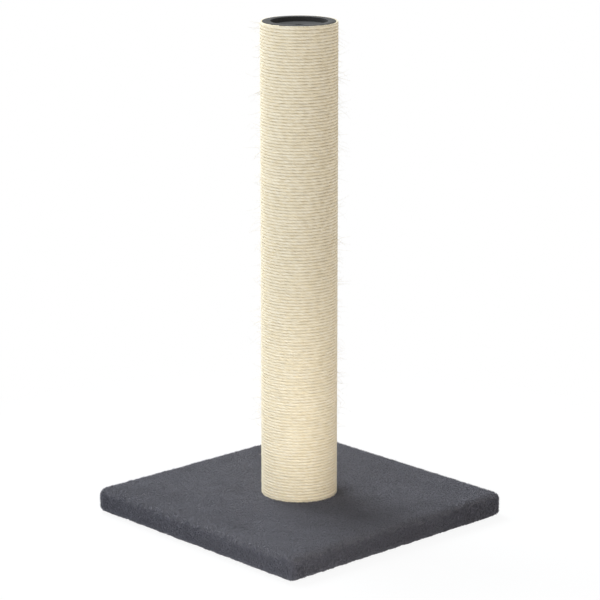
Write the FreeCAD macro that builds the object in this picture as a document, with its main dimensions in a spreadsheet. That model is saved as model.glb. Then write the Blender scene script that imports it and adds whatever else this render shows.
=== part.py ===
import FreeCAD, Part
import math
import os
import Sketcher
from FreeCAD import Placement, Rotation, Vector

# A cat scratching post: a cardboard tube wound with sisal rope, closed at both ends by one plastic
# moulding, bolted from below onto a chipboard base that is wrapped in short plush.
# Origin: on the floor under the middle of the post. +Z is up, and the base's sides lie along X and Y.

# Driving sizes in millimetres. Counts have no unit, and angles are in degrees.
driving_sizes = {
    "base_side": 300,  # over the plush, both ways
    "board_thickness": 18,
    "board_corner_radius": 4,
    "plush_thickness": 3.5,  # backing and pile
    "plush_edge_radius": 7.5,
    "pressed_plush": 1,  # what the post leaves of the plush under it
    "pile_clearance": 0.3,  # from the rope to the pile around the foot
    "hem_width": 38,
    "mitre_gap": 0.8,  # between two hems at a corner
    "staples_per_side": 4,
    "staple_spacing": 64,
    "staple_crown": 12,
    "staple_leg": 11,
    "staple_wire_width": 1.2,
    "staple_wire_thickness": 0.7,
    "staple_sink": 0.8,  # from the hem's underside to the crown
    "tube_length": 496,
    "tube_diameter": 72,
    "tube_wall": 4,
    "cap_flange_overhang": 1.3,  # past the tube, over part of the rope's end
    "cap_flange_thickness": 0.75,
    "cap_spigot_length": 24,
    "cap_spigot_clearance": 0.25,
    "cap_wall": 2.75,
    "cap_recess_depth": 4.4,
    "cap_floor_thickness": 2.6,
    "cap_edge_chamfer": 0.3,
    "cap_boss_diameter": 22,
    "cap_boss_height": 8,
    "cap_webs": 6,
    "cap_web_thickness": 1.8,
    "cap_web_height": 6,
    "cap_crush_ribs": 8,
    "cap_crush_rib_width": 1.2,
    "cap_crush_rib_gap": 0.05,  # from a crush rib to the tube's bore
    "bolt_hole": 10,  # in the plush and in the caps
    "thread_diameter": 8,
    "thread_clearance": 0.05,  # on the radius, in the nuts
    "nut_across_flats": 13,
    "nut_height": 6.5,
    "nut_pocket_clearance": 0.1,
    "board_hole": 9,
    "counterbore_diameter": 26,
    "counterbore_depth": 5,
    "washer_diameter": 24,
    "washer_bore": 8.4,
    "washer_thickness": 1.5,
    "bolt_head_diameter": 17,
    "bolt_head_height": 2.5,
    "bolt_length": 35,
    "hex_key": 5,
    "hex_socket_depth": 1.6,
    "rope_diameter": 3.2,  # what one turn takes along the post
    "rope_thickness": 3.3,  # what it adds to the tube's radius
    "rope_crest": 1.2,  # width of a turn's outermost flat
    "rope_glue": 0.1,  # from the tube to the rope
    "rope_end_clearance": 0.1,  # from the cap's flange to the rope
    "turn_gap": 0.45,
    "modelled_turns": 6,  # at each end of the post, one by one
    "rope_end_angle": 150,  # where the rope starts and ends, about the post
    "rope_staple_crown": 8,
    "rope_staple_leg": 6,
}

doc = FreeCAD.newDocument("cat_scratching_post")
sheet = doc.addObject("Spreadsheet::Sheet", "sizes")
for row, (alias, number) in enumerate(driving_sizes.items(), 1):
    sheet.set(f"A{row}", alias)
    sheet.set(f"B{row}", str(number))
    sheet.setAlias(f"B{row}", alias)
doc.recompute()

# Heights above the floor, and radii about the post, worked out from the driving sizes.
BOARD_SIDE = "(sizes.base_side - 2 * sizes.plush_thickness)"
BOARD_UNDERSIDE = "sizes.plush_thickness"
BOARD_TOP = "(sizes.plush_thickness + sizes.board_thickness)"
BASE_HEIGHT = "(2 * sizes.plush_thickness + sizes.board_thickness)"
POST_FOOT = f"({BOARD_TOP} + sizes.pressed_plush)"
TUBE_FOOT = f"({POST_FOOT} + sizes.cap_flange_thickness)"
POST_HEAD = f"({TUBE_FOOT} + sizes.tube_length + sizes.cap_flange_thickness)"
POST_MIDDLE = f"({TUBE_FOOT} + sizes.tube_length / 2)"
ROPE_INNER_RADIUS = "(sizes.tube_diameter / 2 + sizes.rope_glue)"
ROPE_OUTER_RADIUS = f"({ROPE_INNER_RADIUS} + sizes.rope_thickness)"
COUNTERBORE_TOP = f"({BOARD_UNDERSIDE} + sizes.counterbore_depth)"
WASHER_UNDERSIDE = f"({COUNTERBORE_TOP} - sizes.washer_thickness)"


def value(expression):
    return float(sheet.evalExpression(expression))


# Sketches, and the features made from them. A size is given as an expression of the sheet's cells.


def sketch_in(body, plane="XY_Plane", height="0", turn=0):
    sketch = body.newObject("Sketcher::SketchObject", body.Name + "_sketch")
    support = next(item for item in body.Origin.OriginFeatures if item.Role == plane)
    sketch.AttachmentSupport = [(support, "")]
    sketch.MapMode = "FlatFace"
    sketch.AttachmentOffset = Placement(Vector(), Rotation(Vector(0, 0, 1), turn))
    sketch.setExpression("AttachmentOffset.Base.z", height)
    return sketch


def place(sketch, geometry, point, axis, distance):
    if distance == "0":
        other_axis = -2 if axis == "DistanceX" else -1
        sketch.addConstraint(Sketcher.Constraint("PointOnObject", geometry, point, other_axis))
        return
    start = value(distance)
    index = sketch.addConstraint(Sketcher.Constraint(axis, -1, 1, geometry, point, start))
    sketch.setExpression(f"Constraints[{index}]", distance)


def add_outline(sketch, corners):
    points = [Vector(value(across), value(along), 0) for across, along in corners]
    first = sketch.GeometryCount
    count = len(points)
    for number, point in enumerate(points):
        sketch.addGeometry(Part.LineSegment(point, points[(number + 1) % count]), False)
    for number in range(count):
        following = first + (number + 1) % count
        sketch.addConstraint(Sketcher.Constraint("Coincident", first + number, 2, following, 1))
    for number, (across, along) in enumerate(corners):
        place(sketch, first + number, 1, "DistanceX", across)
        place(sketch, first + number, 1, "DistanceY", along)


def add_circle(sketch, radius):
    circle = sketch.addGeometry(Part.Circle(Vector(), Vector(0, 0, 1), value(radius)), False)
    sketch.addConstraint(Sketcher.Constraint("Coincident", circle, 3, -1, 1))
    index = sketch.addConstraint(Sketcher.Constraint("Radius", circle, value(radius)))
    sketch.setExpression(f"Constraints[{index}]", radius)


def rectangle(left, right, low, high):
    return [(left, low), (right, low), (right, high), (left, high)]


def square(side):
    return rectangle(f"-{side} / 2", f"{side} / 2", f"-{side} / 2", f"{side} / 2")


def hexagon(across_flats):
    reach = f"({across_flats}) / sqrt(3)"
    return [(f"{reach} * cos({60 * n + 30})", f"{reach} * sin({60 * n + 30})") for n in range(6)]


def pad(body, sketch, length, downwards=False):
    feature = body.newObject("PartDesign::Pad", body.Name + "_pad")
    feature.Profile = sketch
    feature.setExpression("Length", length)
    feature.Reversed = downwards
    doc.recompute()
    return feature


def pocket(body, sketch, depth, upwards=False):
    before = body.Shape.Volume
    feature = body.newObject("PartDesign::Pocket", body.Name + "_pocket")
    feature.Profile = sketch
    feature.setExpression("Length", depth)
    feature.Reversed = upwards
    doc.recompute()
    if feature.Shape.Volume >= before:
        raise ValueError(f"{feature.Name} cuts nothing")
    return feature


def revolve(body, sketch):
    feature = body.newObject("PartDesign::Revolution", body.Name + "_revolution")
    feature.Profile = sketch
    feature.ReferenceAxis = (sketch, ["V_Axis"])
    feature.Angle = 360
    doc.recompute()
    return feature


def fillet(body, base, radius, chosen):
    names = [f"Edge{n}" for n, edge in enumerate(base.Shape.Edges, 1) if chosen(edge)]
    feature = body.newObject("PartDesign::Fillet", body.Name + "_fillet")
    feature.Base = (base, names)
    feature.setExpression("Radius", radius)
    doc.recompute()
    return feature


def polar(body, feature, count):
    pattern = body.newObject("PartDesign::PolarPattern", body.Name + "_polar")
    pattern.Originals = [feature]
    axis = next(item for item in body.Origin.OriginFeatures if item.Role == "Z_Axis")
    pattern.Axis = (axis, [""])
    pattern.Angle = 360
    pattern.setExpression("Occurrences", count)
    body.Tip = pattern
    doc.recompute()
    return pattern


def new_body(name):
    body = doc.addObject("PartDesign::Body", name)
    body.Label = name
    return body


def cut(name, base, tool):
    result = doc.addObject("Part::Cut", name)
    result.Label = name
    result.Base = base
    result.Tool = tool
    doc.recompute()
    return result


# The base: a chipboard square, the plush drawn over it and hemmed underneath, and the hem's staples.


def board_block(name):
    body = new_body(name)
    outline = sketch_in(body, height=BOARD_UNDERSIDE)
    add_outline(outline, square(BOARD_SIDE))
    block = pad(body, outline, "sizes.board_thickness")
    fillet(body, block, "sizes.board_corner_radius", lambda edge: abs(edge.tangentAt(0).z) > 0.9)
    return body


def make_board(staples):
    body = board_block("board_with_hole")
    through = sketch_in(body, height=BOARD_UNDERSIDE)
    add_circle(through, "sizes.board_hole / 2")
    pocket(body, through, "sizes.board_thickness", upwards=True)
    counterbore = sketch_in(body, height=BOARD_UNDERSIDE)
    add_circle(counterbore, "sizes.counterbore_diameter / 2")
    pocket(body, counterbore, "sizes.counterbore_depth", upwards=True)
    return cut("base_board", body, staples)


def hem_row(name, corners):
    # One outline, drawn across the hem at the front, padded and repeated along all four sides.
    body = new_body(name)
    body.AllowCompound = True
    outline = sketch_in(body, "XZ_Plane", "sizes.base_side / 2 - sizes.hem_width / 2")
    add_outline(outline, corners)
    wire = pad(body, outline, "sizes.staple_wire_width")
    wire.Midplane = True
    row = body.newObject("PartDesign::LinearPattern", name + "_row")
    row.Direction = (outline, ["H_Axis"])
    row.setExpression("Length", "(sizes.staples_per_side - 1) * sizes.staple_spacing")
    row.setExpression("Occurrences", "sizes.staples_per_side")
    sides = body.newObject("PartDesign::PolarPattern", name + "_sides")
    axis = next(item for item in body.Origin.OriginFeatures if item.Role == "Z_Axis")
    sides.Axis = (axis, [""])
    sides.Angle = 360
    sides.Occurrences = 4
    both = body.newObject("PartDesign::MultiTransform", name + "_all")
    both.Originals = [wire]
    both.Transformations = [row, sides]
    body.Tip = both
    doc.recompute()
    return body


FIRST_STAPLE = "-(sizes.staples_per_side - 1) * sizes.staple_spacing / 2"


def make_cover_staples():
    left = f"{FIRST_STAPLE} - sizes.staple_crown / 2"
    right = f"{FIRST_STAPLE} + sizes.staple_crown / 2"
    wire = "sizes.staple_wire_thickness"
    inside = f"sizes.staple_sink + {wire}"
    tip = "sizes.staple_sink + sizes.staple_leg"
    corners = [
        (left, "sizes.staple_sink"),
        (right, "sizes.staple_sink"),
        (right, tip),
        (f"{right} - {wire}", tip),
        (f"{right} - {wire}", inside),
        (f"{left} + {wire}", inside),
        (f"{left} + {wire}", tip),
        (left, tip),
    ]
    return hem_row("cover_staples", corners)


def make_staple_dents():
    # The plush that each crown pushes aside, from the hem's underside up to the crown.
    left = f"{FIRST_STAPLE} - sizes.staple_crown / 2"
    right = f"{FIRST_STAPLE} + sizes.staple_crown / 2"
    return hem_row("staple_dents", rectangle(left, right, "0", "sizes.staple_sink"))


def make_cover(staples, dents):
    body = new_body("plush_block")
    outline = sketch_in(body)
    add_outline(outline, square("sizes.base_side"))
    block = pad(body, outline, BASE_HEIGHT)
    fillet(body, block, "sizes.plush_edge_radius", lambda edge: True)
    seat = sketch_in(body, height=BASE_HEIGHT)
    add_circle(seat, f"{ROPE_OUTER_RADIUS} + sizes.pile_clearance")
    pocket(body, seat, "sizes.plush_thickness - sizes.pressed_plush")
    hole = sketch_in(body, height=BASE_HEIGHT)
    add_circle(hole, "sizes.bolt_hole / 2")
    pocket(body, hole, "sizes.plush_thickness")
    window = sketch_in(body)
    add_outline(window, square("(sizes.base_side - 2 * sizes.hem_width)"))
    pocket(body, window, "sizes.plush_thickness", upwards=True)
    slit = sketch_in(body, turn=45)
    inner = "(sizes.base_side / 2 - sizes.hem_width - sizes.mitre_gap) * sqrt(2)"
    outer = "(sizes.base_side / 2 - sizes.plush_edge_radius) * sqrt(2)"
    add_outline(slit, rectangle(inner, outer, "-sizes.mitre_gap / 2", "sizes.mitre_gap / 2"))
    mitre = pocket(body, slit, "sizes.plush_thickness", upwards=True)
    polar(body, mitre, "4")
    wrapped = cut("plush_round_board", body, board_block("space_for_board"))
    stapled = cut("plush_with_staples", wrapped, staples)
    return cut("base_cover", stapled, dents)


# The bolt that holds the post, with its washer, and the nuts that both caps hold.


def make_washer():
    body = new_body("bolt_washer")
    ring = sketch_in(body, height=WASHER_UNDERSIDE)
    add_circle(ring, "sizes.washer_diameter / 2")
    add_circle(ring, "sizes.washer_bore / 2")
    pad(body, ring, "sizes.washer_thickness")
    return body


def make_bolt():
    body = new_body("base_bolt")
    low = f"{WASHER_UNDERSIDE} - sizes.bolt_head_height"
    tip = f"{WASHER_UNDERSIDE} + sizes.bolt_length"
    head = "sizes.bolt_head_diameter / 2"
    shank = "sizes.thread_diameter / 2"
    profile = sketch_in(body, "XZ_Plane")
    corners = [
        ("0", low),
        (head, low),
        (head, WASHER_UNDERSIDE),
        (shank, WASHER_UNDERSIDE),
        (shank, tip),
        ("0", tip),
    ]
    add_outline(profile, corners)
    revolve(body, profile)
    socket = sketch_in(body, height=low)
    add_outline(socket, hexagon("sizes.hex_key"))
    pocket(body, socket, "sizes.hex_socket_depth", upwards=True)
    return body


def make_nut(name, underside):
    body = new_body(name)
    section = sketch_in(body, height=underside)
    add_outline(section, hexagon("sizes.nut_across_flats"))
    add_circle(section, "sizes.thread_diameter / 2 + sizes.thread_clearance")
    pad(body, section, "sizes.nut_height")
    return body


# The post: the cardboard tube, and one moulded cap that closes it at both ends.

CAP_FLOOR_INSIDE = "(sizes.cap_recess_depth + sizes.cap_floor_thickness)"


def make_cap(name, height, upside_down):
    # Drawn as the upper cap, with its outer face at height 0 and the spigot hanging below it.
    body = new_body(name)
    flange = "(sizes.tube_diameter / 2 + sizes.cap_flange_overhang)"
    bore = "(sizes.tube_diameter / 2 - sizes.tube_wall)"
    spigot = f"({bore} - sizes.cap_spigot_clearance)"
    inside = f"({spigot} - sizes.cap_wall)"
    boss = "sizes.cap_boss_diameter / 2"
    hole = "sizes.bolt_hole / 2"
    edge = "sizes.cap_edge_chamfer"
    floor = "-sizes.cap_recess_depth"
    under_floor = f"-{CAP_FLOOR_INSIDE}"
    under_boss = f"-{CAP_FLOOR_INSIDE} - sizes.cap_boss_height"
    end = "-sizes.cap_spigot_length"
    corners = [
        (hole, floor),
        (inside, floor),
        (inside, "0"),
        (f"{flange} - {edge}", "0"),
        (flange, f"-{edge}"),
        (flange, "-sizes.cap_flange_thickness"),
        (spigot, "-sizes.cap_flange_thickness"),
        (spigot, end),
        (inside, end),
        (inside, under_floor),
        (boss, under_floor),
        (boss, under_boss),
        (hole, under_boss),
    ]
    profile = sketch_in(body, "XZ_Plane")
    add_outline(profile, corners)
    revolve(body, profile)

    web = sketch_in(body, height=under_floor)
    half_web = "sizes.cap_web_thickness / 2"
    into_boss = f"{boss} - {half_web}"
    into_wall = f"{inside} + sizes.cap_wall / 2"
    add_outline(web, rectangle(into_boss, into_wall, f"-{half_web}", half_web))
    first_web = pad(body, web, "sizes.cap_web_height", downwards=True)
    polar(body, first_web, "sizes.cap_webs")

    rib = sketch_in(body, height="-sizes.cap_flange_thickness")
    half_rib = "sizes.cap_crush_rib_width / 2"
    crest = f"{bore} - sizes.cap_crush_rib_gap"
    add_outline(rib, rectangle(f"{spigot} - sizes.cap_wall / 2", crest, f"-{half_rib}", half_rib))
    rib_length = "sizes.cap_spigot_length - sizes.cap_flange_thickness"
    first_rib = pad(body, rib, rib_length, downwards=True)
    polar(body, first_rib, "sizes.cap_crush_ribs")

    nut = sketch_in(body, height=under_boss)
    add_outline(nut, hexagon("sizes.nut_across_flats + 2 * sizes.nut_pocket_clearance"))
    pocket(body, nut, "sizes.cap_boss_height", upwards=True)

    if upside_down:
        body.Placement = Placement(Vector(), Rotation(Vector(1, 0, 0), 180))
    body.setExpression("Placement.Base.z", height)
    doc.recompute()
    return body


def make_tube(rope_staples):
    body = new_body("plain_tube")
    ring = sketch_in(body, height=TUBE_FOOT)
    add_circle(ring, "sizes.tube_diameter / 2")
    add_circle(ring, "sizes.tube_diameter / 2 - sizes.tube_wall")
    pad(body, ring, "sizes.tube_length")
    return cut("post_tube", body, rope_staples)


# The rope: one helix from the lower cap's flange to the upper one's. Its first and last turns are
# modelled one by one, and a sleeve of the same thickness stands for those between, with both its
# ends stepped along the helix, so that the turns run out of it with the same gap.

rope_inner = value(ROPE_INNER_RADIUS)
rope_outer = value(ROPE_OUTER_RADIUS)
rope_middle = (rope_inner + rope_outer) / 2
turn_gap = value("sizes.turn_gap")
rope_space = value("sizes.tube_length - 2 * sizes.rope_end_clearance")
rope_turns = round((rope_space + turn_gap) / value("sizes.rope_diameter")) - 1
pitch = (rope_space + turn_gap) / (rope_turns + 1)
turn_width = pitch - turn_gap
first_centre = value(f"{TUBE_FOOT} + sizes.rope_end_clearance") + turn_width / 2
modelled_turns = round(value("sizes.modelled_turns"))
post_middle = value(POST_MIDDLE)
ARCS_PER_TURN = 4


def helix_point(angle):
    height = first_centre + pitch * angle / (2 * math.pi)
    return Vector(rope_middle * math.cos(angle), rope_middle * math.sin(angle), height)


def helix_direction(angle):
    climb = pitch / (2 * math.pi * rope_middle)
    return Vector(-math.sin(angle), math.cos(angle), climb).normalize()


def tangent_arc(start, corner, end):
    # The arc between two points that leaves and arrives along the lines to the corner.
    middle = (start + end) / 2
    half_turn = math.atan2((corner - middle).Length, (end - start).Length / 2)
    sagitta = math.tan(half_turn / 2) / math.tan(half_turn)
    return Part.Arc(start, middle + (corner - middle) * sagitta, end).toShape()


def biarc(start_angle, end_angle):
    start, end = helix_point(start_angle), helix_point(end_angle)
    leaving, arriving = helix_direction(start_angle), helix_direction(end_angle)
    span = end - start
    a = 2 * (1 - leaving.dot(arriving))
    b = span.dot(leaving + arriving)
    reach = (math.sqrt(b * b + a * span.dot(span)) - b) / a
    first_corner, last_corner = start + leaving * reach, end - arriving * reach
    joint = (first_corner + last_corner) / 2
    return [tangent_arc(start, first_corner, joint), tangent_arc(joint, last_corner, end)]


def helix_path(start_angle, end_angle, straight_start):
    # Biarcs along the helix, then a straight run of one turn's width, and one before it if asked.
    count = round((end_angle - start_angle) / (2 * math.pi) * ARCS_PER_TURN)
    step = (end_angle - start_angle) / count
    edges = []
    if straight_start:
        start = helix_point(start_angle)
        before = start - helix_direction(start_angle) * turn_width
        edges.append(Part.makeLine(before, start))
    for number in range(count):
        edges += biarc(start_angle + step * number, start_angle + step * (number + 1))
    end = helix_point(end_angle)
    edges.append(Part.makeLine(end, end + helix_direction(end_angle) * turn_width))
    return Part.Wire(edges)


def along_path(path, corners):
    # Corners are given outwards from the path and up along the post, square to the path's start.
    start = path.Edges[0].valueAt(path.Edges[0].FirstParameter)
    forwards = path.Edges[0].tangentAt(path.Edges[0].FirstParameter)
    level = Vector(start.x, start.y, 0)
    outwards = (level - forwards * forwards.dot(level)).normalize()
    upwards = outwards.cross(forwards).normalize()
    points = [start + outwards * out + upwards * up for out, up in corners]
    return path.makePipeShell([Part.makePolygon(points + points[:1])], True, False)


def turn_section():
    foot = turn_width / 2
    crest = value("sizes.rope_crest") / 2
    half = (rope_outer - rope_inner) / 2
    return [(-half, -foot), (half, -crest), (half, crest), (-half, foot)]


def end_over_end(shape):
    # Half a turn about a level line through the post's middle lays the helix onto itself.
    return shape.rotated(Vector(0, 0, post_middle), Vector(1, 0, 0), 180)


def least_gap(path):
    # From points along one turn's upper corner to the nearest ones on the next turn's lower corner.
    spacing = turn_gap / 4
    points = path.discretize(Distance=spacing)
    foot = Vector(0, 0, turn_width / 2)
    per_turn = int(math.hypot(2 * math.pi * rope_middle, pitch) / spacing)
    near = 10
    nearest = math.inf
    for number in range(0, len(points) - per_turn - near, near):
        for other in points[number + per_turn - near : number + per_turn + near]:
            nearest = min(nearest, ((other - foot) - (points[number] + foot)).Length)
    return nearest


END_TURN = 2 * math.pi * modelled_turns
straight_angle = turn_width / rope_middle


def code_feature(name, shape):
    feature = doc.addObject("Part::Feature", name)
    feature.Label = name
    feature.Shape = shape
    turned = Rotation(Vector(0, 0, 1), value("sizes.rope_end_angle"))
    feature.Placement = Placement(Vector(), turned)
    doc.recompute()
    return feature


def make_rope_staples():
    # One staple over each end of the rope, along it, with its crown pressed into the crest.
    wire = value("sizes.staple_wire_thickness")
    width = value("sizes.staple_wire_width")
    crown = value("sizes.rope_staple_crown")
    leg = value("sizes.rope_staple_leg")
    centre = straight_angle + crown / 2 / rope_middle
    corner = Vector(rope_outer - leg, -crown / 2, -width / 2)
    block = Part.makeBox(leg, crown, width, corner)
    gap = Part.makeBox(leg, crown - 2 * wire, width, corner + Vector(-wire, wire, 0))
    staple = block.cut(gap)
    staple.rotate(Vector(), Vector(0, 0, 1), math.degrees(centre))
    staple.translate(Vector(0, 0, helix_point(centre).z))
    return code_feature("rope_staples", Part.makeCompound([staple, end_over_end(staple)]))


def make_end_turns(staples):
    path = helix_path(0, END_TURN - straight_angle, straight_start=True)
    turns = along_path(path, turn_section())
    gap = least_gap(path)
    print(f"rope: {rope_turns} turns at {pitch:.3f} mm, least gap of a turn to the next {gap:.3f} mm")
    wound = code_feature("wound_ends", Part.makeCompound([turns, end_over_end(turns)]))
    return cut("sisal_rope_end_turns", wound, staples)


def make_middle_turns():
    tip = 0.15  # the step's thin end starts this thick
    spare = 0.05  # keeps two rounds of the cutter apart
    margin = 1.0  # the cutter reaches this far past the rope, inwards and outwards
    low = helix_point(END_TURN).z - turn_width / 2 + tip
    high = 2 * post_middle - low
    outside = Part.makeCylinder(rope_outer, high - low, Vector(0, 0, low))
    sleeve = outside.cut(Part.makeCylinder(rope_inner, high - low, Vector(0, 0, low)))
    half = (rope_outer - rope_inner) / 2 + margin
    top = -turn_width / 2
    bottom = top - pitch + spare
    last = END_TURN + 2 * math.pi - straight_angle
    path = helix_path(END_TURN - math.pi / 4, last, straight_start=False)
    cutter = along_path(path, [(-half, bottom), (half, bottom), (half, top), (-half, top)])
    return code_feature("sisal_rope_middle_turns", sleeve.cut([cutter, end_over_end(cutter)]))


cover_staples = make_cover_staples()
rope_staples = make_rope_staples()
FLOOR_OF_LOWER_CAP = f"({POST_FOOT} + {CAP_FLOOR_INSIDE})"
FLOOR_OF_UPPER_CAP = f"({POST_HEAD} - {CAP_FLOOR_INSIDE})"

parts = [
    make_board(cover_staples),
    make_cover(cover_staples, make_staple_dents()),
    cover_staples,
    make_washer(),
    make_bolt(),
    make_cap("lower_end_cap", POST_FOOT, upside_down=True),
    make_nut("lower_cap_nut", FLOOR_OF_LOWER_CAP),
    make_tube(rope_staples),
    make_cap("upper_end_cap", POST_HEAD, upside_down=False),
    make_nut("upper_cap_nut", f"{FLOOR_OF_UPPER_CAP} - sizes.nut_height"),
    make_end_turns(rope_staples),
    make_middle_turns(),
    rope_staples,
]

doc.recompute()
for item in doc.Objects:
    if "Invalid" in item.State or "Error" in item.State:
        raise ValueError(f"{item.Label} failed: {item.State}")
for part in parts:
    if part.Shape.isNull() or not part.Shape.isValid():
        raise ValueError(f"{part.Label} has no valid shape")

os.makedirs("parts", exist_ok=True)
for part in parts:
    part.Shape.exportStep(f"parts/{part.Label}.step")
    print(f"{part.Label}: {len(part.Shape.Solids)} solids, {part.Shape.Volume / 1000:.2f} cm3")
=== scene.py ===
import math
import bmesh
import bpy
import numpy as np
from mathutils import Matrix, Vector, noise
from mathutils.bvhtree import BVHTree


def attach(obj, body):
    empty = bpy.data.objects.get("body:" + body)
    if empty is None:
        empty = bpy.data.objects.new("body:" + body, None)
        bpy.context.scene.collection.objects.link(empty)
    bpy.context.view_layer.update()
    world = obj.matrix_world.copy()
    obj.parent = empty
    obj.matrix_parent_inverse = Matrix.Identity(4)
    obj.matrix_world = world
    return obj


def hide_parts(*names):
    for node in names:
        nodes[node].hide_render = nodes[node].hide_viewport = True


# A cat scratching post: sisal rope wound on a tube, a plastic cap, and a plush-covered base.
# Lengths are in metres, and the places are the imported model's own.
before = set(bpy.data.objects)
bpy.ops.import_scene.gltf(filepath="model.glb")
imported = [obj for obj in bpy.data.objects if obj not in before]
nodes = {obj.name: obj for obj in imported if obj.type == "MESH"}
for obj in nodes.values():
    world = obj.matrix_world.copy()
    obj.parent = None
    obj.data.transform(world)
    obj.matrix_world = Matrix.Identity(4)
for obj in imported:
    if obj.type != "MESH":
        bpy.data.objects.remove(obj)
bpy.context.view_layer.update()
body = "root"
fullTurn = 2 * math.pi


# Helpers for node trees. Each call adds what it needs to the tree that it is given.


def feed(tree, socket, source):
    # An input takes another node's socket, which is linked, or a plain value.
    if isinstance(source, bpy.types.NodeSocket):
        tree.links.new(source, socket)
    else:
        socket.default_value = source


def feedNamed(tree, node, **sources):
    # An underscore stands for a space in the input's name.
    for label, source in sources.items():
        feed(tree, node.inputs[label.replace("_", " ")], source)


def make(tree, kind, inputs=None, **settings):
    node = tree.nodes.new(kind)
    for name, setting in settings.items():
        setattr(node, name, setting)
    for key, source in (inputs or {}).items():
        feed(tree, node.inputs[key], source)
    return node


def output(tree, kind, inputs=None, **settings):
    return make(tree, kind, inputs, **settings).outputs[0]


def calc(tree, operation, *operands):
    return output(tree, "ShaderNodeMath", dict(enumerate(operands)), operation=operation)


def chained(tree, operation, operands):
    total = operands[0]
    for operand in operands[1:]:
        total = calc(tree, operation, total, operand)
    return total


def plus(tree, *terms):
    return chained(tree, "ADD", terms)


def times(tree, *factors):
    return chained(tree, "MULTIPLY", factors)


def minus(tree, start, taken):
    return calc(tree, "SUBTRACT", start, taken)


def divided(tree, whole, by):
    return calc(tree, "DIVIDE", whole, by)


def power(tree, base, exponent):
    return calc(tree, "POWER", base, exponent)


def clamped(tree, source, low, high):
    return calc(tree, "MAXIMUM", calc(tree, "MINIMUM", source, high), low)


def hypotenuse(tree, first, second):
    return calc(tree, "SQRT", plus(tree, power(tree, first, 2.0), power(tree, second, 2.0)))


def vectorOf(tree, x=0.0, y=0.0, z=0.0):
    return output(tree, "ShaderNodeCombineXYZ", {0: x, 1: y, 2: z})


def axesOf(tree, vector):
    return make(tree, "ShaderNodeSeparateXYZ", {0: vector}).outputs


def stretched(tree, vector, scale):
    return output(tree, "ShaderNodeVectorMath", {0: vector, 1: scale}, operation="MULTIPLY")


def vectorSum(tree, first, second):
    return output(tree, "ShaderNodeVectorMath", {0: first, 1: second}, operation="ADD")


def vectorLength(tree, vector):
    return make(tree, "ShaderNodeVectorMath", {0: vector}, operation="LENGTH").outputs["Value"]


def noiseOf(tree, vector, scale, detail=2.0, rough=0.5, result="Fac"):
    inputs = {"Vector": vector, "Scale": scale, "Detail": detail, "Roughness": rough}
    return make(tree, "ShaderNodeTexNoise", inputs).outputs[result]


def ranged(tree, source, fromLow, fromHigh, toLow=0.0, toHigh=1.0):
    inputs = dict(enumerate((source, fromLow, fromHigh, toLow, toHigh)))
    return output(tree, "ShaderNodeMapRange", inputs)


def newGroup(name, kind, inputs, outputs):
    tree = bpy.data.node_groups.new(name, kind)
    for label, (socketType, start) in inputs.items():
        socket = tree.interface.new_socket(label, in_out="INPUT", socket_type=socketType)
        if start is not None:
            socket.default_value = start
    for label, socketType in outputs.items():
        tree.interface.new_socket(label, in_out="OUTPUT", socket_type=socketType)
    entry = tree.nodes.new("NodeGroupInput")
    leave = tree.nodes.new("NodeGroupOutput")
    return tree, entry.outputs, leave


# Helpers for materials.


def newMaterial(name, **fixed):
    # What is the same all over the surface is set on the shader's own inputs.
    material = bpy.data.materials.new(name)
    material.use_nodes = True
    tree = material.node_tree
    shader = next(node for node in tree.nodes if node.type == "BSDF_PRINCIPLED")
    feedNamed(tree, shader, **fixed)
    print("material:", name)
    return material, tree, shader


def placeOf(tree):
    return make(tree, "ShaderNodeTexCoord").outputs["Object"]


def attributeOf(tree, name, result="Vector"):
    return make(tree, "ShaderNodeAttribute", attribute_name=name).outputs[result]


def blended(tree, factor, first, second):
    node = make(tree, "ShaderNodeMix", {0: factor}, data_type="RGBA")
    for key, colour in ((6, first), (7, second)):
        isLinked = isinstance(colour, bpy.types.NodeSocket)
        feed(tree, node.inputs[key], colour if isLinked else (*colour, 1.0))
    return node.outputs[2]


def layered(tree, colour, *coats):
    # Coats of colour over a first one, each through its own mask.
    for mask, coat in coats:
        colour = blended(tree, mask, colour, coat)
    return colour


def bumpOf(tree, height, strength, depth):
    return output(tree, "ShaderNodeBump", {"Strength": strength, "Distance": depth, "Height": height})


def useGroup(tree, group, **inputs):
    node = tree.nodes.new("ShaderNodeGroup")
    node.node_tree = group
    feedNamed(tree, node, **inputs)
    return node.outputs


# Surface effects that several materials share. Each puts out a mask or a normal, and holds no shader.

noiseSpan = (0.3, 0.7)  # where most of a noise's values lie


def mottleGroup():
    # Two sizes of soft patches, put together as one mask.
    inputs = {
        "Vector": ("NodeSocketVector", None),
        "Patch Scale": ("NodeSocketFloat", 20.0),
        "Speck Scale": ("NodeSocketFloat", 400.0),
        "Speck Share": ("NodeSocketFloat", 0.5),
    }
    tree, given, leave = newGroup("mottle", "ShaderNodeTree", inputs, {"Mask": "NodeSocketFloat"})
    patches = ranged(tree, noiseOf(tree, given["Vector"], given["Patch Scale"], 3.0), *noiseSpan)
    specks = ranged(tree, noiseOf(tree, given["Vector"], given["Speck Scale"]), *noiseSpan)
    share = given["Speck Share"]
    mixed = plus(tree, times(tree, specks, share), times(tree, patches, minus(tree, 1.0, share)))
    feedNamed(tree, leave, Mask=mixed)
    return tree


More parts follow.
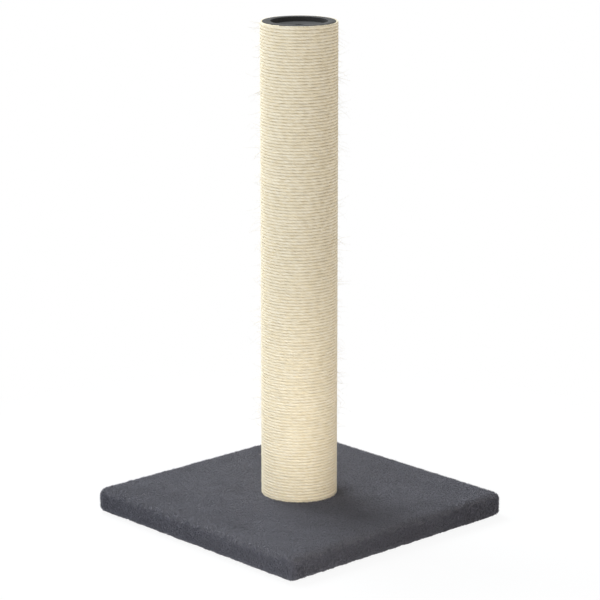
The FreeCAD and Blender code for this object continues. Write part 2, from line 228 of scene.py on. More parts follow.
def reliefGroup():
    # A fine grain, as a mask of its height and as a normal.
    inputs = {
        "Vector": ("NodeSocketVector", None),
        "Scale": ("NodeSocketFloat", 2000.0),
        "Strength": ("NodeSocketFloat", 0.3),
        "Depth": ("NodeSocketFloat", 0.0001),
    }
    outputs = {"Mask": "NodeSocketFloat", "Normal": "NodeSocketVector"}
    tree, given, leave = newGroup("relief", "ShaderNodeTree", inputs, outputs)
    height = noiseOf(tree, given["Vector"], given["Scale"], 3.0, 0.6)
    normal = bumpOf(tree, height, given["Strength"], given["Depth"])
    feedNamed(tree, leave, Mask=height, Normal=normal)
    return tree


def rubsGroup():
    # Thin straight rubs, in two directions that cross.
    inputs = {
        "Vector": ("NodeSocketVector", None),
        "Scale": ("NodeSocketFloat", 60.0),
        "Amount": ("NodeSocketFloat", 0.5),
    }
    tree, given, leave = newGroup("rubs", "ShaderNodeTree", inputs, {"Mask": "NodeSocketFloat"})
    masks = []
    for across, along, least in ((1.0, 22.0, 0.62), (22.0, 1.5, 0.64)):
        vector = stretched(tree, given["Vector"], (across, along, along))
        masks.append(ranged(tree, noiseOf(tree, vector, given["Scale"], 1.0), least, least + 0.08))
    feedNamed(tree, leave, Mask=times(tree, calc(tree, "MAXIMUM", *masks), given["Amount"]))
    return tree


mottle, relief, rubs = mottleGroup(), reliefGroup(), rubsGroup()


# Helpers for Geometry Nodes. A tree is built once, run with its sizes, and turned into plain meshes.


def newTree(name, sizes):
    kinds = {int: "NodeSocketInt", float: "NodeSocketFloat"}
    inputs = {"Geometry": ("NodeSocketGeometry", None)}
    for label, start in sizes.items():
        isMaterial = isinstance(start, bpy.types.Material)
        inputs[label] = ("NodeSocketMaterial", None) if isMaterial else (kinds[type(start)], start)
    return newGroup(name, "GeometryNodeTree", inputs, {"Geometry": "NodeSocketGeometry"})


def closeTree(tree, leave, geometry, material):
    realized = output(tree, "GeometryNodeRealizeInstances", {0: geometry})
    painted = output(tree, "GeometryNodeSetMaterial", {"Geometry": realized, "Material": material})
    feedNamed(tree, leave, Geometry=painted)


def newObject(name, data):
    added = bpy.data.objects.new(name, data)
    bpy.context.scene.collection.objects.link(added)
    return added


def runTree(name, tree, sizes, host=None):
    # The tree works on the host's mesh, or on an empty one where it makes all of its own geometry.
    holder = newObject(name + "Holder", host.data if host else bpy.data.meshes.new(name + "Start"))
    modifier = holder.modifiers.new(tree.name, "NODES")
    modifier.node_group = tree
    for item in tree.interface.items_tree:
        if item.name in sizes:
            modifier[item.identifier] = sizes[item.name]
    evaluated = holder.evaluated_get(bpy.context.evaluated_depsgraph_get())
    mesh = bpy.data.meshes.new_from_object(evaluated)
    bpy.data.objects.remove(holder)
    mesh.name = name
    return newObject(name, mesh)


def dropAttributes(piece, *names):
    for name in names:
        attribute = piece.data.attributes.get(name)
        if attribute:
            piece.data.attributes.remove(attribute)


def store(tree, geometry, name, source, dataType="FLOAT", domain="POINT"):
    inputs = {"Geometry": geometry, "Name": name, "Value": source}
    return output(tree, "GeometryNodeStoreNamedAttribute", inputs, data_type=dataType, domain=domain)


def recall(tree, name):
    node = make(tree, "GeometryNodeInputNamedAttribute", {"Name": name}, data_type="FLOAT")
    return node.outputs["Attribute"]


def moved(tree, geometry, position):
    return output(tree, "GeometryNodeSetPosition", {0: geometry, "Position": position})


def positionOf(tree):
    return output(tree, "GeometryNodeInputPosition")


def smoothed(tree, geometry):
    return output(tree, "GeometryNodeSetShadeSmooth", {0: geometry})


def seedOf(tree, given, number):
    return plus(tree, given["Seed"], float(number))


def randomIn(tree, given, number, low, high):
    # Each number draws values of its own from the tree's seed.
    inputs = {2: low, 3: high, 8: seedOf(tree, given, number)}
    return make(tree, "FunctionNodeRandomValue", inputs, data_type="FLOAT").outputs[1]


def rotationTo(tree, heading, roll):
    # Z along the heading, rolled about it.
    turned = output(tree, "FunctionNodeAlignRotationToVector", {"Vector": heading}, axis="Z")
    inputs = {0: turned, 1: vectorOf(tree, 0.0, 0.0, roll)}
    return output(tree, "FunctionNodeRotateRotation", inputs, rotation_space="LOCAL")


# The rope: one helix in three pressed strands, from the lower cap to the upper one.

rope = {
    "turns": 155,
    "wrapRadius": 0.03775,  # post axis to the middle of the rope
    "startAngle": math.radians(150),
    "endRun": 0.0727,  # radians that each end runs on past its last full turn
    "radius": 0.00173,
    "squareness": 5.6,  # 2 is a round section, and more is one pressed flat on its neighbours
    "outerShare": 1.02,  # of the radius, past which nothing stands out
    "rowShare": 0.998,  # of its own row that a turn may fill
    "strands": 3,
    "sectionPoints": 12,
    "layLength": 0.0145,  # along the rope, for one turn of its strands
    "layWander": 5.0,  # radians by which the lay slips to and fro
    "wanderScale": 14.0,  # slips to a metre
    "grooveDepth": 0.06,
    "grooveSharpness": 4.0,
    "looseness": 0.16,  # how uneven the strands lie
    "lumpScale": (210.0, 700.0, 700.0),  # changes to a metre along the rope, outwards and up
    "levelTurns": 30,  # over which the winding settles level towards each end
    "stepAngle": 0.11,  # share of a turn in which a level turn climbs to the next
    "stepsPerTurn": 216,
    "lowest": 0.02328,
    "highest": 0.51922,
    "endBulge": 0.00066,  # how far the top turn swells up outside the cap's flange
    "bulgeRun": 0.0008,  # outwards from the rope's middle, to the full bulge
    "tubeRadius": 0.0361,
    "pieces": 5,
}
sisalLook = {
    "cream": (0.905, 0.82, 0.65),
    "straw": (0.83, 0.71, 0.48),
    # painted shade: this darker colour is laid into the grooves between the strands and at each row's edge
    # between turns
    "groove": (0.68, 0.54, 0.335),
    "bleached": (0.935, 0.89, 0.775),
    "fibreScale": (150.0, 5200.0, 5200.0),  # counted as the lumps are, and so are the next two
    "bundleScale": (170.0, 900.0, 900.0),
    "lengthScale": (9.0, 60.0, 60.0),
    "rowShadeSpan": (0.55, 0.9),  # shares of the rope's radius, between which a row's edge is painted darker, as painted shade between the turns
}


def sisalMaterial():
    fixed = {"Specular_IOR_Level": 0.15, "Sheen_Weight": 0.04, "Sheen_Roughness": 0.5}
    material, tree, shader = newMaterial("sisal", **fixed)
    place = attributeOf(tree, "ropePlace")  # along, outwards and up from the rope's middle line
    fibres = noiseOf(tree, stretched(tree, place, sisalLook["fibreScale"]), 1.0, 3.0, 0.65)
    bundles = noiseOf(tree, stretched(tree, place, sisalLook["bundleScale"]), 1.0)
    lengths = noiseOf(tree, stretched(tree, place, sisalLook["lengthScale"]), 1.0)
    crest = attributeOf(tree, "crest", "Fac")
    rise = calc(tree, "ABSOLUTE", axesOf(tree, place)[2])
    edge = [rope["radius"] * share for share in sisalLook["rowShadeSpan"]]
    tone = layered(
        tree, sisalLook["straw"],
        (ranged(tree, bundles, 0.36, 0.62, 0.25, 1.0), sisalLook["cream"]),
        (ranged(tree, fibres, 0.55, 0.75, 0.0, 0.7), sisalLook["bleached"]),
        (ranged(tree, fibres, 0.30, 0.46, 0.55, 0.0), sisalLook["straw"]),
        (ranged(tree, lengths, 0.42, 0.62, 0.14, 0.0), sisalLook["straw"]),
        # Painted shade: darker in the grooves between the strands, and towards each row's edge where the
        # turns meet.
        (ranged(tree, crest, 0.0, 0.55, 0.25, 0.0), sisalLook["groove"]),
        (ranged(tree, rise, *edge, 0.0, 0.05), sisalLook["groove"]))
    rough = ranged(tree, fibres, *noiseSpan, 0.85, 0.6)
    feedNamed(tree, shader, Base_Color=tone, Normal=bumpOf(tree, fibres, 0.7, 0.0002), Roughness=rough)
    return material


sisal = sisalMaterial()

# What the rope's tree and the fibres' tree both need to know of the winding.
windingSizes = {
    "Turns": float(rope["turns"]),
    "Wrap Radius": rope["wrapRadius"],
    "Start Angle": rope["startAngle"],
    "Rope Radius": rope["radius"],
    "Level Turns": float(rope["levelTurns"]),
    "Step Angle": rope["stepAngle"],
    "Lowest": rope["lowest"],
    "Highest": rope["highest"],
}
ropeSizes = {
    **windingSizes,
    "First Turn": 0.0,
    "Last Turn": 1.0,
    "Steps per Turn": float(rope["stepsPerTurn"]),
    "Squareness": rope["squareness"],
    "Lay Length": rope["layLength"],
    "Groove Depth": rope["grooveDepth"],
    "Looseness": rope["looseness"],
    "Tube Radius": rope["tubeRadius"],
    "End Bulge": rope["endBulge"],
    "Finish": sisal,
}


def pitchOf(tree, given):
    return divided(tree, minus(tree, given["Highest"], given["Lowest"]), given["Turns"])


def angleOf(tree, given, turn):
    return plus(tree, times(tree, turn, fullTurn), given["Start Angle"])


def climbOf(tree, given, turn):
    # Turns below a point of the rope. It is an even climb in the middle of the post, and near both ends
    # level turns with a short step between, so that the first and last lie flat against the caps.
    whole = calc(tree, "ROUND", turn)
    stepEnds = [times(tree, given["Step Angle"], side) for side in (-0.5, 0.5)]
    step = ranged(tree, minus(tree, turn, whole), *stepEnds, -0.5, 0.5)
    level = plus(tree, whole, step, -0.5)
    even = minus(tree, turn, 0.5)
    fromEnd = calc(tree, "MINIMUM", turn, minus(tree, given["Turns"], turn))
    share = ranged(tree, fromEnd, 0.0, given["Level Turns"], 1.0, 0.0)
    climb = plus(tree, even, times(tree, share, minus(tree, level, even)))
    return clamped(tree, climb, 0.0, minus(tree, given["Turns"], 1.0))


def ropeLine(tree, given):
    # The middle line, whose points remember their height and how far along the rope they are.
    span = minus(tree, given["Last Turn"], given["First Turn"])
    steps = calc(tree, "ROUND", times(tree, span, given["Steps per Turn"]))
    done = divided(tree, output(tree, "GeometryNodeInputIndex"), steps)
    turn = plus(tree, given["First Turn"], times(tree, done, span))
    angle = angleOf(tree, given, turn)
    pitch = pitchOf(tree, given)
    climb = times(tree, climbOf(tree, given, turn), pitch)
    height = plus(tree, given["Lowest"], times(tree, pitch, 0.5), climb)
    shares = [calc(tree, operation, angle) for operation in ("COSINE", "SINE")]
    east, north = (times(tree, given["Wrap Radius"], share) for share in shares)
    line = output(tree, "GeometryNodeCurvePrimitiveLine")
    line = output(tree, "GeometryNodeResampleCurve", {"Curve": line, "Count": plus(tree, steps, 1.0)})
    line = moved(tree, line, vectorOf(tree, east, north, height))
    along = times(tree, turn, times(tree, given["Wrap Radius"], fullTurn))
    line = store(tree, line, "middle", height)
    line = store(tree, line, "along", along)
    line = output(tree, "GeometryNodeSetCurveNormal", {0: line}, mode="Z_UP")
    slip = noiseOf(tree, vectorOf(tree, along), rope["wanderScale"], 1.0)
    lay = times(tree, divided(tree, along, given["Lay Length"]), fullTurn)
    tilt = plus(tree, lay, times(tree, slip, rope["layWander"]))
    return output(tree, "GeometryNodeSetCurveTilt", {0: line, "Tilt": tilt})


def ropeSection(tree, given):
    # A ring that dips between the strands, and remembers where its crests are.
    ring = {"Resolution": rope["sectionPoints"], "Radius": given["Rope Radius"]}
    section = output(tree, "GeometryNodeCurvePrimitiveCircle", ring)
    halfLobe = math.pi * rope["strands"] / rope["sectionPoints"]
    wave = calc(tree, "SINE", times(tree, output(tree, "GeometryNodeInputIndex"), halfLobe))
    groove = power(tree, calc(tree, "ABSOLUTE", wave), rope["grooveSharpness"])
    size = minus(tree, 1.0, times(tree, groove, given["Groove Depth"]))
    lobed = output(tree, "ShaderNodeVectorMath", {0: positionOf(tree), "Scale": size}, operation="SCALE")
    return store(tree, moved(tree, section, lobed), "crest", minus(tree, 1.0, groove))


def squaredSwell(tree, given, place, out, rise):
    # What a point's way out of the middle line is multiplied by: a loose strand's lump, and the
    # flat-sided section's reach in that direction.
    lumps = noiseOf(tree, stretched(tree, place, rope["lumpScale"]), 1.0)
    lump = plus(tree, 1.0, times(tree, minus(tree, lumps, 0.5), given["Looseness"]))
    away = hypotenuse(tree, out, rise)
    shares = [calc(tree, "ABSOLUTE", divided(tree, part, away)) for part in (out, rise)]
    powers = [power(tree, share, given["Squareness"]) for share in shares]
    squared = power(tree, plus(tree, *powers), divided(tree, -1.0, given["Squareness"]))
    return times(tree, lump, squared)


def pressedRope(tree, given, skin):
    # Each point as outwards and up from the middle line, pressed onto the tube and its neighbours.
    axes = axesOf(tree, positionOf(tree))
    pitch = pitchOf(tree, given)
    half = times(tree, pitch, 0.5)
    reach = hypotenuse(tree, axes[0], axes[1])
    middle = recall(tree, "middle")
    out = minus(tree, reach, given["Wrap Radius"])
    rise = minus(tree, axes[2], middle)
    place = vectorOf(tree, recall(tree, "along"), out, rise)
    swell = squaredSwell(tree, given, place, out, rise)
    inner = minus(tree, given["Tube Radius"], given["Wrap Radius"])
    outer = times(tree, given["Rope Radius"], rope["outerShare"])
    out = clamped(tree, times(tree, out, swell), inner, outer)
    rowEnds = [times(tree, half, side * rope["rowShare"]) for side in (-1, 1)]
    rise = clamped(tree, times(tree, rise, swell), *rowEnds)
    level = clamped(tree, plus(tree, middle, rise), given["Lowest"], given["Highest"])
    # The top turn's outer half bulges up past the cap's flange.
    fromTop = minus(tree, given["Highest"], middle)
    bulge = times(
        tree, given["End Bulge"], ranged(tree, fromTop, half, pitch, 1.0, 0.0),
        ranged(tree, out, 0.0, rope["bulgeRun"]), ranged(tree, rise, 0.0, half))
    ratio = divided(tree, plus(tree, given["Wrap Radius"], out), reach)
    east, north = (times(tree, axes[axis], ratio) for axis in (0, 1))
    skin = store(tree, skin, "ropePlace", place, "FLOAT_VECTOR")
    return moved(tree, skin, vectorOf(tree, east, north, plus(tree, level, bulge)))


def ropeTree():
    tree, given, leave = newTree("woundRope", ropeSizes)
    line, section = ropeLine(tree, given), ropeSection(tree, given)
    sweep = {"Curve": line, "Profile Curve": section, "Fill Caps": True}
    skin = pressedRope(tree, given, output(tree, "GeometryNodeCurveToMesh", sweep))
    closeTree(tree, leave, smoothed(tree, skin), given["Finish"])
    return tree


def addRope():
    tree = ropeTree()
    firstTurn = -rope["endRun"] / fullTurn
    lastTurn = rope["turns"] - firstTurn
    share = (lastTurn - firstTurn) / rope["pieces"]
    for number in range(rope["pieces"]):
        sizes = dict(ropeSizes)
        sizes["First Turn"] = firstTurn + share * number
        sizes["Last Turn"] = firstTurn + share * (number + 1)
        piece = runTree(f"sisal_rope_{number + 1}", tree, sizes)
        dropAttributes(piece, "middle", "along")
        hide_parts("sisal_rope_end_turns", "sisal_rope_middle_turns")
        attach(piece, body)
    print("rope wound")


# Loose fibres: short ones along the rope's skin, and strays that stand off it.

fuzz = {
    "shortCount": 5200,
    "shortLength": (0.003, 0.009),
    "shortLift": (2, 14),  # degrees off the rope
    "shortGauge": (0.00005, 0.00009),
    "shortFirstTurn": 0.2,
    "shortSeed": 3,
    "strayCount": 900,
    "strayLength": (0.006, 0.019),
    "strayLift": (14, 70),
    "strayGauge": (0.00009, 0.00017),
    "strayFirstTurn": 22.0,  # the lowest turns, next to the plush, have lost theirs
    "straySeed": 57,
    "lastTurnLeft": 0.2,  # no root is nearer to the rope's end, in turns
    "bends": ((0.10, 0.05, 0.16), (-0.16, 0.10, -0.05), (0.05, -0.18, 0.22), (0.22, 0.12, -0.20)),
    "rootSpread": 1.1,  # radians up and down from the rope's outermost line
    "climbSpread": (-0.9, 0.6),  # how far a lifted fibre tends down or up
    "leastReach": 0.8,  # share of the rope's radius, under which no fibre dips
    "overTop": 0.0006,  # how far above the rope one may reach
    "tipShare": 0.3,  # of the gauge, at the tip
}


def fibreMaterial():
    material, tree, shader = newMaterial("sisalFibre", Specular_IOR_Level=0.3, Sheen_Weight=0.1)
    tone = attributeOf(tree, "fibreTone", "Fac")
    patches = ranged(tree, noiseOf(tree, placeOf(tree), 900.0), 0.4, 0.7, 0.0, 0.3)
    colour = layered(
        tree, sisalLook["straw"], (tone, sisalLook["bleached"]), (patches, sisalLook["cream"]))
    feedNamed(tree, shader, Base_Color=colour, Roughness=ranged(tree, tone, 0.0, 1.0, 0.8, 0.6))
    return material


fibre = fibreMaterial()


def fuzzSizes(kind):
    lift = [math.radians(angle) for angle in fuzz[kind + "Lift"]]
    return {
        **windingSizes,
        "Count": fuzz[kind + "Count"],
        "Shortest": fuzz[kind + "Length"][0],
        "Longest": fuzz[kind + "Length"][1],
        "Least Lift": lift[0],
        "Most Lift": lift[1],
        "Thinnest": fuzz[kind + "Gauge"][0],
        "Thickest": fuzz[kind + "Gauge"][1],
        "First Turn": fuzz[kind + "FirstTurn"],
        "Seed": fuzz[kind + "Seed"],
        "Finish": fibre,
    }


def fibreKit(tree):
    # Fibres of unit length, each with its own bend.
    kit = make(tree, "GeometryNodeJoinGeometry")
    for first, second, third in fuzz["bends"]:
        ends = {"Start": (0.0, 0.0, 0.0), "End": (third, -second, 1.0)}
        run = {"Resolution": 4, "Middle": (first, second, 0.5), **ends}
        bend = output(tree, "GeometryNodeCurveQuadraticBezier", run)
        feed(tree, kit.inputs[0], output(tree, "GeometryNodeGeometryToInstance", {0: bend}))
    return kit.outputs[0]


def placedFibres(tree, given):
    # Roots on the rope's outer side.
    lastRoot = minus(tree, given["Turns"], fuzz["lastTurnLeft"])
    turn = randomIn(tree, given, 0, given["First Turn"], lastRoot)
    angle = angleOf(tree, given, turn)
    slope = randomIn(tree, given, 1, -fuzz["rootSpread"], fuzz["rootSpread"])
    out = times(tree, given["Rope Radius"], calc(tree, "COSINE", slope))
    reach = plus(tree, given["Wrap Radius"], out)
    rise = times(tree, given["Rope Radius"], calc(tree, "SINE", slope))
    climb = times(tree, plus(tree, climbOf(tree, given, turn), 0.5), pitchOf(tree, given))
    across, along = calc(tree, "COSINE", angle), calc(tree, "SINE", angle)
    east, north = (times(tree, reach, part) for part in (across, along))
    root = vectorOf(tree, east, north, plus(tree, given["Lowest"], climb, rise))
    # A fibre heads along the rope one way or the other, lifted off it.
    lift = randomIn(tree, given, 2, given["Least Lift"], given["Most Lift"])
    way = calc(tree, "SIGN", randomIn(tree, given, 3, -1.0, 1.0))
    flat, off = times(tree, calc(tree, "COSINE", lift), way), calc(tree, "SINE", lift)
    heading = vectorOf(
        tree,
        minus(tree, times(tree, off, across), times(tree, flat, along)),
        plus(tree, times(tree, off, along), times(tree, flat, across)),
        times(tree, off, randomIn(tree, given, 4, *fuzz["climbSpread"])))
    spin = rotationTo(tree, heading, randomIn(tree, given, 5, 0.0, fullTurn))
    length = randomIn(tree, given, 6, given["Shortest"], given["Longest"])
    kinds = {4: 0, 5: len(fuzz["bends"]) - 1, 8: seedOf(tree, given, 7)}
    pick = make(tree, "FunctionNodeRandomValue", kinds, data_type="INT").outputs[2]
    placed = output(tree, "GeometryNodeInstanceOnPoints", {
        "Points": output(tree, "GeometryNodePoints", {"Count": given["Count"], "Position": root}),
        "Instance": fibreKit(tree),
        "Pick Instance": True,
        "Instance Index": pick,
        "Rotation": spin,
        "Scale": vectorOf(tree, length, length, length)})
    tone = randomIn(tree, given, 8, 0.15, 1.0)
    gauge = randomIn(tree, given, 9, given["Thinnest"], given["Thickest"])
    placed = store(tree, placed, "fibreTone", tone, domain="INSTANCE")
    placed = store(tree, placed, "gauge", gauge, domain="INSTANCE")
    return output(tree, "GeometryNodeRealizeInstances", {0: placed})


def clearedFibres(tree, given, lines):
    # No fibre dips into the post, or leaves its height.
    axes = axesOf(tree, positionOf(tree))
    distance = hypotenuse(tree, axes[0], axes[1])
    least = plus(tree, given["Wrap Radius"], times(tree, given["Rope Radius"], fuzz["leastReach"]))
    push = divided(tree, calc(tree, "MAXIMUM", distance, least), distance)
    level = clamped(tree, axes[2], given["Lowest"], plus(tree, given["Highest"], fuzz["overTop"]))
    east, north = (times(tree, axes[axis], push) for axis in (0, 1))
    return moved(tree, lines, vectorOf(tree, east, north, level))


def fuzzTree():
    tree, given, leave = newTree("looseFibres", fuzzSizes("short"))
    lines = clearedFibres(tree, given, placedFibres(tree, given))
    # Each fibre is a tube of three sides that thins to its tip.
    share = make(tree, "GeometryNodeSplineParameter").outputs["Factor"]
    width = times(tree, recall(tree, "gauge"), ranged(tree, share, 0.0, 1.0, 1.0, fuzz["tipShare"]))
    lines = output(tree, "GeometryNodeSetCurveRadius", {0: lines, "Radius": width})
    ring = output(tree, "GeometryNodeCurvePrimitiveCircle", {"Resolution": 3, "Radius": 1.0})
    gauge = output(tree, "GeometryNodeInputRadius")
    sweep = {"Curve": lines, "Profile Curve": ring, "Scale": gauge, "Fill Caps": True}
    hairs = output(tree, "GeometryNodeCurveToMesh", sweep)
    closeTree(tree, leave, smoothed(tree, hairs), given["Finish"])
    return tree


def addFuzz():
    tree = fuzzTree()
    for name, kind in (("sisal_fuzz", "short"), ("sisal_strays", "stray")):
        piece = runTree(name, tree, fuzzSizes(kind))
        dropAttributes(piece, "gauge")
        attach(piece, body)
        print(name, len(piece.data.polygons), "faces")


# The plush cover: one closed skin, from the bolt's hole over the board and round to its hem.

cover = {
    "halfSide": 0.150,
    "height": 0.025,
    "skin": 0.0035,  # cloth and pile, from the board outwards
    "pileSink": 0.0002,  # the cloth lies this far under the tips of its pile
    "edgeRadius": 0.0075,
    "lowerRadius": 0.0060,
    "boardCorner": 0.004,
    "cornerShrink": 0.0035,  # how much sharper the corners are well inside the board's outline
    "cornerEase": 0.0010,  # by which the cover's corners are rounder than the board's
    "seatRadius": 0.0397,  # of the hollow that the post presses into the top
    "seatHeight": 0.0225,
    "seatRound": 0.0012,  # outwards from its wall to the flat top
    "seatLip": ((0.0004, 0.0002, 0.9), (0.0, 0.0008, 0.5)),  # out from its wall, down, nap
    "seatTaper": 0.0001,
    "seatMiddle": 0.022,  # radius of a ring on its floor
    "boltHoleRadius": 0.005,
    "boardShares": (0.0, 0.3, 0.65),  # of the way from the bolt's hole to the board's edge
    "windowHalfSide": 0.112,  # of the square that the hem leaves open underneath
    "underside": 0.0006,  # the hem's cloth is this far over the floor
    "cutEdge": ((0.0, 0.0026, 0.25), (0.0003, 0.0014, 0.3)),  # out, up, nap
    "hemRound": 0.0012,
    "hemNap": 0.3,
    "hemHeight": 0.004,  # what is lower, and farther in than the rim, is hem
    "rimWidth": 0.006,
    "mitreWidth": 0.00117,  # from the middle of a corner's slit to its edge
    "mitreDepth": 0.0026,
    "crownHeight": 0.0012,  # of the staples' crowns over the floor
    "pullWidth": 0.0036,  # from a crown, as far as it pulls the hem up
    "pullHeight": 0.0016,
    "lowest": 0.0001,
    "columnsPerSide": 150,
    "columnsPerCorner": 10,
    "hemRows": 14,
    "lowerRows": 6,
    "sideRows": 7,
    "upperRows": 7,
    "topRows": 56,
    "unevenness": 0.0004,
    "waves": ((24.0, 0.5), (150.0, 0.25), (330.0, 0.4)),  # bumps to a metre, and their share
    "sideTufts": 0.0006,  # how far the pile bunches out on the sides
    "tuftWaves": ((110.0, 0.7), (240.0, 0.6)),
    "leastNap": 0.2,  # rows with less are bare cloth, and even
}
plushLook = {
    "deep": (0.119, 0.117, 0.134),
    "grey": (0.163, 0.159, 0.176),
    "tip": (0.213, 0.208, 0.223),
    # painted shade for the cover's sides, darker and bluer than the top
    "side": (0.042, 0.043, 0.066),
    "tipShare": 0.55,
    "sideShadeShare": 0.36,
    "sideShadeDepth": (0.0030, 0.0052),  # below the top, from where the sides' painted shade starts to where it is full
    "ragged": 0.018,  # how far that line wanders
}
boardHalf = cover["halfSide"] - cover["skin"]
outerHalf = cover["halfSide"] - cover["pileSink"]
outerRound = cover["edgeRadius"] - cover["pileSink"]
outerTop = cover["height"] - cover["pileSink"]


def plushMaterial(name, isPile):
    fixed = {"Sheen_Weight": 0.35, "Sheen_Roughness": 0.45, "Sheen_Tint": (0.75, 0.77, 0.85, 1.0)}
    material, tree, shader = newMaterial(name, Specular_IOR_Level=0.15, **fixed)
    place = placeOf(tree)
    patches = useGroup(tree, mottle, Vector=place, Patch_Scale=38.0, Speck_Scale=520.0, Speck_Share=0.75)[0]
    coats = [(ranged(tree, patches, 0.1, 0.9), plushLook["grey"])]
    if isPile:
        tip = ranged(tree, attributeOf(tree, "pileTip", "Fac"), 0.2, 1.0, 0.0, plushLook["tipShare"])
        coats.append((tip, plushLook["tip"]))
    # Painted shade: the sides are painted darker and bluer below the top, along a ragged line.
    ragged = times(tree, minus(tree, noiseOf(tree, place, 210.0), 0.5), plushLook["ragged"])
    depth = minus(tree, cover["height"], plus(tree, axesOf(tree, place)[2], ragged))
    side = ranged(tree, depth, *plushLook["sideShadeDepth"], 0.0, plushLook["sideShadeShare"])
    colour = layered(tree, plushLook["deep"], *coats, (side, plushLook["side"]))
    grain = useGroup(tree, relief, Vector=place, Scale=2600.0, Strength=0.7, Depth=0.0004)
    rough = ranged(tree, grain["Mask"], *noiseSpan, 0.98, 0.88)
    feedNamed(tree, shader, Base_Color=colour, Normal=grain["Normal"], Roughness=rough)
    return material


plushCloth, plushPile = plushMaterial("plushCloth", False), plushMaterial("plushPile", True)


def columnShape():
    # For each column: its side, and its place along it from -1 to 1, or its angle round the corner.
    columns = []
    perSide, perCorner = cover["columnsPerSide"], cover["columnsPerCorner"]
    for quarter in range(4):
        for step in range(perSide):
            columns.append((quarter, -1 + 2 * (step + 0.5) / perSide, None))
        for step in range(perCorner):
            columns.append((quarter, None, math.pi / 2 * (step + 0.5) / perCorner))
    return columns


columns = columnShape()


def squareRing(halfSide, corner):
    points = []
    inner = halfSide - corner
    for quarter, share, angle in columns:
        if angle is None:
            x, y = halfSide, share * inner
        else:
            x, y = inner + corner * math.cos(angle), inner + corner * math.sin(angle)
        for _ in range(quarter):
            x, y = -y, x
        points.append((x, y))
    return np.array(points)


def roundRing(radius):
    # Each point lies in the same direction as that column's on a square ring.
    unit = squareRing(1.0, 0.05)
    return unit / np.linalg.norm(unit, axis=1)[:, None] * radius


def clothRing(halfSide, isOuter=True):
    # Rings farther out than the board's outline have rounder corners, and the outer skin's a little more.
    corner = cover["boardCorner"] + max(halfSide - boardHalf, -cover["cornerShrink"])
    if isOuter:
        share = (halfSide - cover["windowHalfSide"]) / (outerHalf - cover["windowHalfSide"])
        corner += cover["cornerEase"] * share
    return squareRing(halfSide, corner)


# The skin's rows in their order. Each is a ring, its height and its nap, from 0 for bare cloth to 1.


def insideRows():
    # On the board's top, down its side and back under it to the hem's cut edge.
    boardTop = cover["height"] - cover["skin"]
    window = cover["windowHalfSide"]
    hole, edge = roundRing(cover["boltHoleRadius"]), clothRing(boardHalf, False)
    rows = [(hole + (edge - hole) * share, boardTop, 0.0) for share in cover["boardShares"]]
    rows += [(edge, boardTop, 0.0), (edge, cover["skin"], 0.0)]
    for halfSide in ((boardHalf + window) / 2, window):
        rows.append((clothRing(halfSide, False), cover["skin"], 0.0))
    return rows


def hemRows():
    # The rolled cut edge, and the flat underside.
    window, hemRound = cover["windowHalfSide"], cover["hemRound"]
    rows = [(clothRing(window + out), height, nap) for out, height, nap in cover["cutEdge"]]
    run = outerHalf - cover["lowerRadius"] - window - hemRound
    for step in range(cover["hemRows"] + 1):
        ring = clothRing(window + hemRound + run * step / cover["hemRows"])
        rows.append((ring, cover["underside"], cover["hemNap"]))
    return rows


def sideRows():
    # Round from the hem to the side, up it, and round to the top.
    rows = []
    underside, lowerRound, hemNap = cover["underside"], cover["lowerRadius"], cover["hemNap"]
    low, high = underside + lowerRound, outerTop - outerRound
    for step in range(1, cover["lowerRows"] + 1):
        angle = math.pi / 2 * step / cover["lowerRows"]
        ring = clothRing(outerHalf - lowerRound + lowerRound * math.sin(angle))
        nap = hemNap + (1 - hemNap) * step / cover["lowerRows"]
        rows.append((ring, underside + lowerRound * (1 - math.cos(angle)), nap))
    for step in range(1, cover["sideRows"]):
        rows.append((clothRing(outerHalf), low + (high - low) * step / cover["sideRows"], 1.0))
    for step in range(cover["upperRows"] + 1):
        angle = math.pi / 2 * step / cover["upperRows"]
        ring = clothRing(outerHalf - outerRound + outerRound * math.cos(angle))
        rows.append((ring, high + outerRound * math.sin(angle), 1.0))
    return rows


def topRows():
    # Over the top, and down into the seat that the post presses into it.
    count, seatRadius = cover["topRows"], cover["seatRadius"]
    edge, seat = clothRing(outerHalf - outerRound), roundRing(seatRadius + cover["seatRound"])
    rows = [(edge + (seat - edge) * step / count, outerTop, 1.0) for step in range(1, count + 1)]
    for out, down, nap in cover["seatLip"]:
        rows.append((roundRing(seatRadius + out), outerTop - down, nap))
    for radius in (seatRadius - cover["seatTaper"], cover["seatMiddle"], cover["boltHoleRadius"]):
        rows.append((roundRing(radius), cover["seatHeight"], 0.0))
    return rows


def waveAt(spot, parts):
    return sum(noise.noise(spot * scale) * share for scale, share in parts)


def roughen(grid, nap, tufted):
    # The pile's bumps, along the skin's own normals. The sides' rows bunch into tufts as well.
    alongRows = np.roll(grid, -1, 0) - np.roll(grid, 1, 0)
    alongColumns = np.roll(grid, -1, 1) - np.roll(grid, 1, 1)
    normals = np.cross(alongColumns, alongRows)
    normals /= np.maximum(np.linalg.norm(normals, axis=2, keepdims=True), 1e-12)
    for row in range(len(grid)):
        if nap[row] < cover["leastNap"]:
            continue
        for column in range(len(columns)):
            spot = Vector(grid[row, column])
            swell = waveAt(spot, cover["waves"]) * cover["unevenness"] * nap[row]
            if row in tufted:
                swell += waveAt(spot, cover["tuftWaves"]) * cover["sideTufts"]
            grid[row, column] += normals[row, column] * swell


def mitreHem(grid, nap):
    # At each corner the hem's two ends leave a slit, up to the board. Returns where the hem is.
    across, along = np.abs(grid[:, :, 0]), np.abs(grid[:, :, 1])
    isLow = grid[:, :, 2] < cover["hemHeight"]
    isInside = np.maximum(across, along) < cover["halfSide"] - cover["rimWidth"]
    inHem = isLow & isInside & (nap[:, None] > cover["leastNap"])
    skew = np.abs(across - along) / math.sqrt(2)
    grid[:, :, 2] += np.clip(1 - skew / cover["mitreWidth"], 0, 1) * inHem * cover["mitreDepth"]
    return inHem


